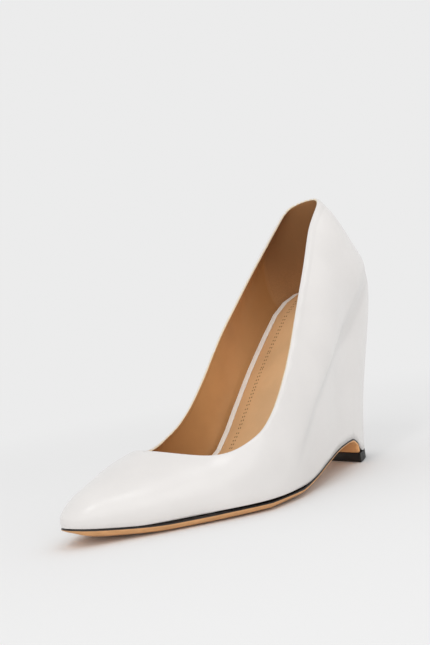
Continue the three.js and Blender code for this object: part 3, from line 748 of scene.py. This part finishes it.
def white_leather_material(leather):
    """Smooth, slightly warm white calf with a satin finish."""
    material, tree, shader = new_material("white_leather")
    place = object_place(tree)
    white = leather.white
    cloud = span(tree, noise(tree, place, **PATTERNS["white clouds"]), *WHITE_CLOUD_SPAN)
    fine = noise(tree, place, **PATTERNS["white fine marks"])
    base = tint(tree, cloud, white, shade(white, "white clouds"))
    # Darker in patches towards the bottom rim, where the upper meets the sole
    low = span(tree, attribute(tree, "bottom_run"), 0.0, SOLE_DARKENING_HEIGHT, SOLE_DARKENING_SHARE, 0.0)
    sole_darkening = compute(tree, "MULTIPLY", low, span(tree, fine, *SOLE_DARKENING_SPAN))
    base = tint(tree, sole_darkening, base, shade(white, "white darkening at sole"))
    # Painted shade: the leather darkens where the creases press troughs into it
    folded = span(tree, attribute(tree, "fold_depth"), 0.0, FOLD_DEPTH, 0.0, FOLD_SHARE)
    base = tint(tree, folded, base, shade(white, "white fold painted shade"))
    # Painted shade: a faint darker line where the turned edge ends under the leather
    base = tint(tree, turned_edge_shade(tree, place), base, shade(white, "white turned edge shade"))
    put(tree, base, shader.inputs["Base Color"])
    low_gloss, high_gloss = (leather.roughness + spread for spread in GLOSS_SPREAD)
    put(tree, span(tree, fine, *GLOSS_SPAN, low_gloss, high_gloss), shader.inputs["Roughness"])
    pulls = bump(tree, noise(tree, place, **PATTERNS["white pulls"]), "white pulls")
    pores = bump(tree, cells(tree, place, leather.grain), "white pores", pulls)
    put(tree, bump(tree, fine, "white fine marks", pores), shader.inputs["Normal"])
    return material


def lining_material(leather):
    """Tan lining, smooth in front and napped at the heel grip, with a light folded edge."""
    material, tree, shader = new_material("tan_lining")
    place = object_place(tree)
    forward = part_of(tree, place, "X")
    grip = attribute(tree, "heel_grip")
    run = attribute(tree, "topline_run")
    napped = span(tree, grip, -NAP_BORDER, NAP_BORDER)
    nap = noise(tree, place, **PATTERNS["nap"])
    cloud = noise(tree, place, **PATTERNS["lining clouds"])
    smooth = mottled(tree, cloud, leather.lining, "lining clouds")
    # Painted shade, with some darkening from handling: the lining darkens towards the throat and the
    # back
    at_throat = span(tree, forward, *THROAT_SHADE_AND_PATINA)
    at_back = span(tree, forward, *BACK_SHADE_AND_PATINA)
    shaded_and_handled = compute(tree, "ADD", at_throat, at_back, clamp=True)
    smooth = tint(tree, shaded_and_handled, smooth, leather.shaded_and_handled)
    rough = mottled(tree, nap, leather.grip, "nap")
    # Painted shade: the heel grip darkens towards its top
    high = span(tree, part_of(tree, place, "Z"), *GRIP_TOP_SHADE)
    rough = tint(tree, high, rough, shade(leather.grip, "grip top painted shade"))
    base = tint(tree, napped, smooth, rough)
    seam = span(tree, compute(tree, "ABSOLUTE", grip), *SEAM_SPAN, SEAM_SHARE, 0.0)
    base = tint(tree, seam, base, shade(leather.grip, "grip seam"))
    from_stitches = compute(tree, "ABSOLUTE", compute(tree, "SUBTRACT", run, STITCH_LINE))
    stitches = span(tree, from_stitches, *STITCH_SPAN, STITCH_SHARE, 0.0)
    base = tint(tree, stitches, base, shade(leather.grip, "grip stitches"))
    base = tint(tree, span(tree, run, *LIGHT_EDGE_SPAN, 1.0, 0.0), base, leather.edge)
    put(tree, base, shader.inputs["Base Color"])
    put(tree, span(tree, napped, 0, 1, *LINING_ROUGHNESS), shader.inputs["Roughness"])
    grain = bump(tree, cells(tree, place, leather.grain), "lining grain")
    fuzz = bump(tree, compute(tree, "MULTIPLY", nap, napped), "nap", grain)
    put(tree, bump(tree, napped, "grip step", fuzz), shader.inputs["Normal"])
    return material


def edge_material(leather):
    """The lining's light edge, folded over along the topline."""
    material, tree, shader = new_material("topline_edge")
    fibres = noise(tree, object_place(tree), **PATTERNS["edge fibres"])
    base = mottled(tree, fibres, leather.edge, "edge fibres")
    near_white = span(tree, attribute(tree, "topline_run"), *WHITE_EDGE_SPAN)
    put(tree, tint(tree, near_white, base, leather.white), shader.inputs["Base Color"])
    put(tree, bump(tree, fibres, "edge fibres"), shader.inputs["Normal"])
    return material


def sole_paint(tree, place, forward, shape):
    """Where the sole's edge is painted: 1 down to the painted band's border, and 0 past it."""
    band = span(tree, forward, *PAINT_SPAN, shape.painted_line, shape.painted_band)
    pattern = noise(tree, place, **PATTERNS["paint border"])
    uneven = compute(tree, "SUBTRACT", pattern, PATTERN_MIDDLE)
    border = compute(tree, "ADD", band, compute(tree, "MULTIPLY", uneven, PAINT_WOBBLE))
    past = compute(tree, "SUBTRACT", attribute(tree, "edge_run"), border)
    return span(tree, past, -PAINT_SOFTNESS, PAINT_SOFTNESS, 1.0, 0.0)


def sole_material(leather, shape):
    """Polished tan sole leather with a black painted edge."""
    material, tree, shader = new_material("sole_leather")
    place = object_place(tree)
    forward = part_of(tree, place, "X")
    painted = sole_paint(tree, place, forward, shape)
    streaks = noise(tree, place, **PATTERNS["sole streaks"])
    tan = mottled(tree, streaks, leather.sole, "sole streaks")
    worn = span(tree, noise(tree, place, **PATTERNS["sole wear"]), *WEAR_SPAN, 0.0, WEAR_SHARE)
    tan = tint(tree, worn, tan, shade(leather.sole, "sole wear"))
    # Painted light: the tan turns paler over the arch, which lies in shade
    arch = span(tree, forward, ARCH_START, ARCH_START + ARCH_FADE)
    tan = tint(tree, arch, tan, shade(leather.sole, "sole arch painted light"))
    put(tree, tint(tree, painted, tan, PAINT), shader.inputs["Base Color"])
    put(tree, span(tree, painted, 0, 1, *SOLE_ROUGHNESS), shader.inputs["Roughness"])
    fibres = bump(tree, streaks, "sole streaks")
    scuffs = bump(tree, noise(tree, place, **PATTERNS["sole scuffs"]), "sole scuffs", fibres)
    put(tree, scuffs, shader.inputs["Normal"])
    return material


def rubber_material():
    """Matte black rubber with a faint grain and dusty scuffs."""
    material, tree, shader = new_material("black_rubber")
    place = object_place(tree)
    dust = noise(tree, place, **PATTERNS["rubber dust"])
    dusty = span(tree, dust, *DUST_SPAN, 0.0, DUST_SHARE)
    put(tree, tint(tree, dusty, RUBBER, RUBBER_DUST), shader.inputs["Base Color"])
    put(tree, span(tree, dust, *PATTERN_SPAN, *RUBBER_ROUGHNESS), shader.inputs["Roughness"])
    grain = noise(tree, place, **PATTERNS["rubber grain"])
    put(tree, bump(tree, grain, "rubber grain"), shader.inputs["Normal"])
    return material


def core_material():
    """Pale moulded plastic of the wedge inside the leather."""
    material, tree, shader = new_material("wedge_core")
    place = object_place(tree)
    cloud = span(tree, noise(tree, place, **PATTERNS["core clouds"]), *PATTERN_SPAN)
    put(tree, tint(tree, cloud, CORE, CORE_CLOUD), shader.inputs["Base Color"])
    grain = noise(tree, place, **PATTERNS["core grain"])
    put(tree, bump(tree, grain, "core grain"), shader.inputs["Normal"])
    return material


def binding_material(leather):
    """Creamy white leather band, folded round the insole."""
    material, tree, shader = new_material("insole_binding")
    place = object_place(tree)
    cloud = noise(tree, place, **PATTERNS["binding clouds"])
    base = mottled(tree, cloud, leather.binding, "binding clouds")
    put(tree, base, shader.inputs["Base Color"])
    grain = bump(tree, cells(tree, place, leather.grain), "binding grain")
    put(tree, grain, shader.inputs["Normal"])
    return material


def sock_material(leather):
    """Tan sock leather with a soft sheen."""
    material, tree, shader = new_material("sock_leather")
    place = object_place(tree)
    cloud = noise(tree, place, **PATTERNS["sock clouds"])
    fine = noise(tree, place, **PATTERNS["sock fine marks"])
    base = mottled(tree, cloud, leather.sock, "sock clouds")
    put(tree, base, shader.inputs["Base Color"])
    put(tree, span(tree, fine, *PATTERN_SPAN, *SOCK_ROUGHNESS), shader.inputs["Roughness"])
    grain = bump(tree, cells(tree, place, leather.grain), "sock grain")
    put(tree, bump(tree, fine, "sock fine marks", grain), shader.inputs["Normal"])
    return material


def pinhole_material(leather):
    """The shaded inside of a pinhole."""
    material, tree, shader = new_material("pinhole")
    fibres = noise(tree, object_place(tree), **PATTERNS["pinhole fibres"])
    # Painted shade: the inside of each hole is coloured dark
    deep = shade(leather.lining, "pinhole depth")
    rim = shade(leather.lining, "pinhole rim")
    base = tint(tree, span(tree, fibres, *PATTERN_SPAN), deep, rim)
    put(tree, base, shader.inputs["Base Color"])
    return material


# Upper


def least(faces, axis):
    """The least x, y or z of some faces' corners."""
    return min(getattr(corner.co, axis) for face in faces for corner in face.verts)


def upper_parts(mesh):
    """Splits the upper's bmesh at its rims: (outer skin, inner skin, topline rim, bottom rim)."""
    groups = sorted(surfaces(mesh, RIM_ANGLE), key=len)
    if len(groups) < UPPER_SURFACES:
        raise RuntimeError(f"the upper has {len(groups)} surfaces, fewer than {UPPER_SURFACES}")
    outer, inner = sorted(groups[-2:], key=lambda skin: least(skin, "x"))
    topline = []
    bottom = []
    for rim in groups[:-2]:
        side = bottom if least(rim, "z") < BOTTOM_RIM_HEIGHT else topline
        side.extend(rim)
    return outer, inner, topline, bottom


def prepare_upper(piece):
    """Gives the upper's faces their materials and holds its rims. Returns the places along them."""
    mesh = bmesh_of(piece)
    outer, inner, topline, bottom = upper_parts(mesh)
    for face in inner:
        face.material_index = LINING_INDEX
    for face in topline:
        face.material_index = EDGE_INDEX
    outer_rim = shared_edges(topline, outer)
    inner_rim = shared_edges(topline, inner)
    bottom_rim = shared_edges(bottom, outer)
    hold_edges(mesh, outer_rim | inner_rim, TOPLINE_HOLD)
    hold_edges(mesh, bottom_rim | shared_edges(bottom, inner), BOTTOM_HOLD)
    paths = [dense_path(rim, RIM_SPACING) for rim in (outer_rim, inner_rim, bottom_rim)]
    mesh.to_mesh(piece.data)
    mesh.free()
    return paths


def outside_points(piece):
    """Indices of the points on a piece's outer skin, its first material."""
    mesh = piece.data
    inside = {corner for face in mesh.polygons if face.material_index for corner in face.vertices}
    return [point.index for point in mesh.vertices if point.index not in inside]


def smooth_share(value):
    """Eases from 0 to 1."""
    share = min(max(value, 0.0), 1.0)
    return share * share * (3 - 2 * share)


def crease_paths():
    """Each crease with its path in metres, as (start, end, run before it) pieces, and its length."""
    paths = []
    for crease in CREASES:
        places = [Vector((TOE_X + x * SHOE_LENGTH, z * HEEL_HEIGHT)) for x, z in crease["path"]]
        pieces = []
        length = 0.0
        for start, end in zip(places, places[1:]):
            pieces.append((start, end, length))
            length += (end - start).length
        paths.append((crease, pieces, length))
    return paths


def crease_rise(crease, pieces, length, place, normal):
    """How far one crease lifts a point of the outer leather, in metres."""
    facing = smooth_share(crease["side"] * normal.y / CREASE_FACING)
    if facing == 0:
        return 0.0
    here = Vector((place.x, place.z))
    best = None
    for start, end, before in pieces:
        line = end - start
        share = min(max((here - start).dot(line) / line.length_squared, 0.0), 1.0)
        away = (here - start - line * share).length
        if best is None or away < best[0]:
            ahead = line.cross(here - start) < 0
            best = (away, before + share * line.length, ahead)
    away, run, ahead = best
    width = crease.get("lead", crease["width"]) if ahead else crease["width"]
    fade = CREASE_FADE * length
    ends = smooth_share(run / fade) * smooth_share((length - run) / fade)
    return crease["rise"] * MM * facing * ends * exp(-((away / (width * MM)) ** 2))


def press_creases(piece, shape, runs):
    """Moves the outer leather's points for the creases and the turned edge of the quarters' topline.

    The depth of the troughs stays on the mesh, for the shade that gathers in them.
    """
    mesh = piece.data
    normals = [point.normal.copy() for point in mesh.vertices]
    paths = crease_paths()
    depths = [0.0] * len(mesh.vertices)
    for index in outside_points(piece):
        point = mesh.vertices[index]
        rises = [crease_rise(*path, point.co, normals[index]) for path in paths]
        depths[index] = -sum(rise for rise in rises if rise < 0)
        back = smooth_share((point.co.x - TURNED_START) / TURNED_FADE)
        fall = smooth_share((runs[index] - shape.turned_edge) / shape.turned_slope)
        turned = shape.turned_rise * back * (1 - fall)
        point.co += normals[index] * (sum(rises) + turned)
    store(piece, "fold_depth", depths)
    mesh.update()


def grip_distances(piece):
    """How far each point lies behind the front edge of the napped heel grip, in metres."""
    values = []
    for point in piece.data.vertices:
        height = point.co.z - GRIP_MIDDLE
        border = GRIP_FRONT + GRIP_LEAN * height + GRIP_BEND * height * abs(height)
        values.append(point.co.x - border)
    return values


class SHOE_OT_upper(bpy.types.Operator):
    """Builds the leather upper with its lining over the frame's hollow upper"""

    bl_idname = "shoe.upper"
    bl_label = "Upper"

    def execute(self, context):
        leather = context.scene.shoe_leather
        shape = context.scene.shoe_shape
        materials = (white_leather_material(leather), lining_material(leather), edge_material(leather))
        piece = node_copy("upper", "upper_leather", *materials)
        outer_rim, inner_rim, bottom_rim = prepare_upper(piece)
        subdivide(piece, shape.rounds)
        press_creases(piece, shape, distances(piece, outer_rim))
        store(piece, "topline_run", distances(piece, inner_rim))
        store(piece, "bottom_run", distances(piece, bottom_rim))
        store(piece, "heel_grip", grip_distances(piece))
        finish_piece(piece, "white_leather", "upper")
        return {"FINISHED"}


# Sole and heel


def top_border(mesh):
    """Edges round a plate's top face: the surface that looks up the most."""
    groups = surfaces(mesh, SOLE_BORDER_ANGLE)
    top = max(groups, key=lambda group: sum(face.calc_area() * face.normal.z for face in group))
    return shared_edges(top, set(mesh.faces) - set(top))


def edge_distances(piece, border):
    """How far each point of the sole lies from its border, and nothing for those on its top face."""
    points = piece.data.vertices
    runs = distances(piece, border)
    return [0.0 if point.normal.z > SOLE_TOP_LOOK else run for point, run in zip(points, runs)]


class SHOE_OT_sole(bpy.types.Operator):
    """Builds the leather sole with its painted edge and rounded underside"""

    bl_idname = "shoe.sole"
    bl_label = "Sole"

    def execute(self, context):
        shape = context.scene.shoe_shape
        leather = sole_material(context.scene.shoe_leather, shape)
        piece = node_copy("outsole", "sole_leather", leather)
        mesh = bmesh_of(piece)
        border = top_border(mesh)
        hold_edges(mesh, sharp_edges(mesh, SOLE_EDGE_ANGLE), SOLE_HOLD)
        hold_edges(mesh, border, SOLE_BORDER_HOLD)
        places = dense_path(border, BORDER_SPACING)
        mesh.to_mesh(piece.data)
        mesh.free()
        subdivide(piece, shape.rounds)
        store(piece, "edge_run", edge_distances(piece, places))
        finish_piece(piece, "sole_leather", "outsole")
        return {"FINISHED"}


class SHOE_OT_heel(bpy.types.Operator):
    """Builds the walked-on top piece and finishes the wedge inside the leather"""

    bl_idname = "shoe.heel"
    bl_label = "Heel"

    def execute(self, context):
        piece = node_copy("top_piece", "top_piece_rubber", rubber_material())
        soften_edges(piece, *TOP_PIECE_BEVEL)
        finish_piece(piece, "black_rubber", "top_piece")
        core = bpy.data.objects["wedge_heel"]
        core.data.materials.clear()
        core.data.materials.append(core_material())
        return {"FINISHED"}


# Foot bed


def sock_outline(piece):
    """Places of the corners round the sock's top face, from the toe end by the outer side."""
    mesh = bmesh_of(piece)
    follow = {}
    for edge in sharp_edges(mesh, SOCK_BORDER_ANGLE):
        if any(face.normal.z > SOCK_TOP_LOOK for face in edge.link_faces):
            first, second = edge.verts
            follow.setdefault(first, []).append(second)
            follow.setdefault(second, []).append(first)
    start = min(follow, key=lambda corner: (corner.co.x, corner.co.y))
    here = min(follow[start], key=lambda corner: corner.co.y)
    before = start
    ring = [start.co.copy()]
    while here != start:
        ring.append(here.co.copy())
        onward = [corner for corner in follow[here] if corner != before]
        if len(onward) != 1:
            raise RuntimeError("the edges round the sock's top face make no closed ring")
        before = here
        here = onward[0]
    mesh.free()
    return ring


def sides(ring):
    """Each place of a ring with the next one."""
    return zip(ring, ring[1:] + ring[:1])


def flat(place):
    """A place seen in plan."""
    return Vector((place.x, place.y, 0))


def inset_path(ring, inset, step):
    """Points a step apart round a ring, each moved inwards in plan, with the way along the ring."""
    places = []
    turn = sum(start.x * end.y - end.x * start.y for start, end in sides(ring))
    hand = 1 if turn > 0 else -1
    carried = 0.0
    for start, end in sides(ring):
        way = end - start
        along = flat(way).normalized()
        inward = Vector((-along.y, along.x, 0)) * hand
        while carried < way.length:
            places.append((start + way * (carried / way.length) + inward * inset, along))
            carried += step
        carried -= way.length
    return places


def pinhole_places(sock, ring, shape):
    """Where each pinhole sits: matrices in two rows along the sock's edge, on its surface."""
    surface = BVHTree.FromPolygons(
        [point.co.copy() for point in sock.data.vertices],
        [tuple(face.vertices) for face in sock.data.polygons],
    )
    steps = [k / OUTLINE_STEPS for k in range(OUTLINE_STEPS)]
    edge = [flat(start).lerp(flat(end), step) for start, end in sides(ring) for step in steps]
    outline = search_tree(edge)
    matrices = []
    for inset in (shape.hole_inset, shape.hole_inset + ROW_SPACING * shape.hole_radius):
        for place, along in inset_path(ring, inset, shape.hole_pitch):
            gap = outline.find(flat(place))[2]
            if place.x < HOLE_START or gap < inset * HOLE_CLEARANCE:
                continue
            above = place + Vector((0, 0, HOLE_REACH))
            hit, normal, _, _ = surface.ray_cast(above, Vector((0, 0, -1)))
            if hit is None or normal.z < HOLE_LOOK:
                continue
            across = normal.cross(along).normalized()
            turn = Matrix((across.cross(normal), across, normal)).transposed().to_4x4()
            matrices.append(Matrix.Translation(hit) @ turn)
    return matrices


def pinholes(sock, ring, shape):
    """One pinhole's hexagonal plug, dark with painted shade, copied to every place of the rows and
    sunk into the sock.
    """
    deselect()
    bpy.ops.mesh.primitive_cylinder_add(
        vertices=HOLE_CORNERS, radius=shape.hole_radius, depth=HOLE_DEPTH, location=(0, 0, -HOLE_SINK)
    )
    plug = bpy.context.object
    plug.scale.x = HOLE_STRETCH
    bpy.ops.object.transform_apply(location=True, rotation=True, scale=True)
    mesh = bmesh.new()
    for matrix in pinhole_places(sock, ring, shape):
        done = len(mesh.verts)
        mesh.from_mesh(plug.data)
        mesh.verts.ensure_lookup_table()
        bmesh.ops.transform(mesh, matrix=matrix, verts=mesh.verts[done:])
    mesh.to_mesh(plug.data)
    mesh.free()
    plug.name = "sock_pinholes"
    plug.data.name = "sock_pinholes"
    return plug


class SHOE_OT_foot_bed(bpy.types.Operator):
    """Builds the bound insole, the sock on it and the sock's pinholes"""

    bl_idname = "shoe.foot_bed"
    bl_label = "Foot bed"

    def execute(self, context):
        leather = context.scene.shoe_leather
        insole = node_copy("insole", "insole_binding", binding_material(leather))
        soften_edges(insole, *INSOLE_BEVEL)
        finish_piece(insole, "insole_binding", "insole")
        sock = node_copy("sock_lining", "sock_leather", sock_material(leather))
        ring = sock_outline(sock)
        soften_edges(sock, *SOCK_BEVEL)
        finish_piece(sock, "sock_leather", "sock_lining")
        holes = pinholes(sock, ring, context.scene.shoe_shape)
        holes.data.materials.append(pinhole_material(leather))
        deselect()
        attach(holes, "root")
        return {"FINISHED"}


# Stage


def floor_material(stage):
    """Pale floor that takes soft shadows and fades into the sky's own brightness far away."""
    material, tree, surface = bare_material("studio_floor")
    near = tree.nodes.new("ShaderNodeBsdfDiffuse")
    far = tree.nodes.new("ShaderNodeEmission")
    far.inputs["Strength"].default_value = stage.sky
    near.inputs["Color"].default_value = (stage.floor, stage.floor, stage.floor, 1)
    length = tree.nodes.new("ShaderNodeVectorMath")
    length.operation = "LENGTH"
    tree.links.new(object_place(tree), length.inputs[0])
    mix = tree.nodes.new("ShaderNodeMixShader")
    tree.links.new(span(tree, length.outputs["Value"], *FLOOR_SPAN), mix.inputs[0])
    tree.links.new(near.outputs[0], mix.inputs[1])
    tree.links.new(far.outputs[0], mix.inputs[2])
    tree.links.new(mix.outputs[0], surface)
    return material


def add_floor(stage):
    """Adds the round floor under the shoe."""
    deselect()
    bpy.ops.mesh.primitive_circle_add(
        vertices=FLOOR_CORNERS, radius=FLOOR_RADIUS, fill_type="NGON", location=(0, 0, 0)
    )
    floor = bpy.context.object
    floor.name = "studio_floor"
    floor.data.materials.append(floor_material(stage))


def add_sky(stage):
    """Adds even white surroundings."""
    world = bpy.data.worlds.new("studio_sky")
    world.use_nodes = True
    background = world.node_tree.nodes["Background"]
    background.inputs["Color"].default_value = (1, 1, 1, 1)
    background.inputs["Strength"].default_value = stage.sky
    bpy.context.scene.world = world


def add_light(row):
    """Adds one soft area light that faces its aim."""
    data = bpy.data.lights.new(row["name"], "AREA")
    data.shape = "RECTANGLE"
    data.size, data.size_y = row["size"]
    data.energy = row["power"]
    light = bpy.data.objects.new(row["name"], data)
    bpy.context.scene.collection.objects.link(light)
    light.location = row["at"]
    facing = Vector(row["aim"]) - Vector(row["at"])
    light.rotation_euler = facing.to_track_quat("-Z", "Y").to_euler()


def add_camera():
    """Adds the scene's camera."""
    data = bpy.data.cameras.new("camera")
    data.lens = CAMERA_LENS
    data.sensor_width = CAMERA_SENSOR
    data.clip_start, data.clip_end = CAMERA_REACH
    camera = bpy.data.objects.new("camera", data)
    bpy.context.scene.collection.objects.link(camera)
    camera.location = CAMERA_PLACE
    camera.rotation_euler = [radians(angle) for angle in CAMERA_TURN]
    bpy.context.scene.camera = camera


class SHOE_OT_stage(bpy.types.Operator):
    """Sets up the floor, the sky, the lights and the camera"""

    bl_idname = "shoe.stage"
    bl_label = "Stage"

    def execute(self, context):
        add_floor(context.scene.shoe_stage)
        add_sky(context.scene.shoe_stage)
        for row in LIGHTS:
            add_light(row)
        add_camera()
        context.scene.view_settings.view_transform = "Standard"
        return {"FINISHED"}


class SHOE_PT_panel(bpy.types.Panel):
    """Buttons and settings for the shoe"""

    bl_idname = "SHOE_PT_panel"
    bl_label = "White wedge pump"
    bl_space_type = "VIEW_3D"
    bl_region_type = "UI"
    bl_category = "Shoe"

    def draw(self, context):
        for name, kind in GROUPS.items():
            box = self.layout.box()
            for setting in kind.__annotations__:
                box.prop(getattr(context.scene, name), setting)
        for operator in OPERATORS:
            self.layout.operator(operator.bl_idname)


OPERATORS = (SHOE_OT_stage, SHOE_OT_upper, SHOE_OT_sole, SHOE_OT_heel, SHOE_OT_foot_bed)
GROUPS = {"shoe_leather": ShoeLeather, "shoe_shape": ShoeShape, "shoe_stage": ShoeStage}
CLASSES = (*GROUPS.values(), *OPERATORS, SHOE_PT_panel)


def register():
    """Registers the settings, the operators and the panel."""
    for item in CLASSES:
        bpy.utils.register_class(item)
    for name, kind in GROUPS.items():
        setattr(bpy.types.Scene, name, PointerProperty(type=kind))


def unregister():
    """Takes them out again."""
    for name in GROUPS:
        delattr(bpy.types.Scene, name)
    for item in reversed(CLASSES):
        bpy.utils.unregister_class(item)


def main():
    """Builds the stage and every piece."""
    register()
    bpy.ops.shoe.stage()
    bpy.ops.shoe.upper()
    bpy.ops.shoe.sole()
    bpy.ops.shoe.heel()
    bpy.ops.shoe.foot_bed()


if __name__ == "__main__":
    main()
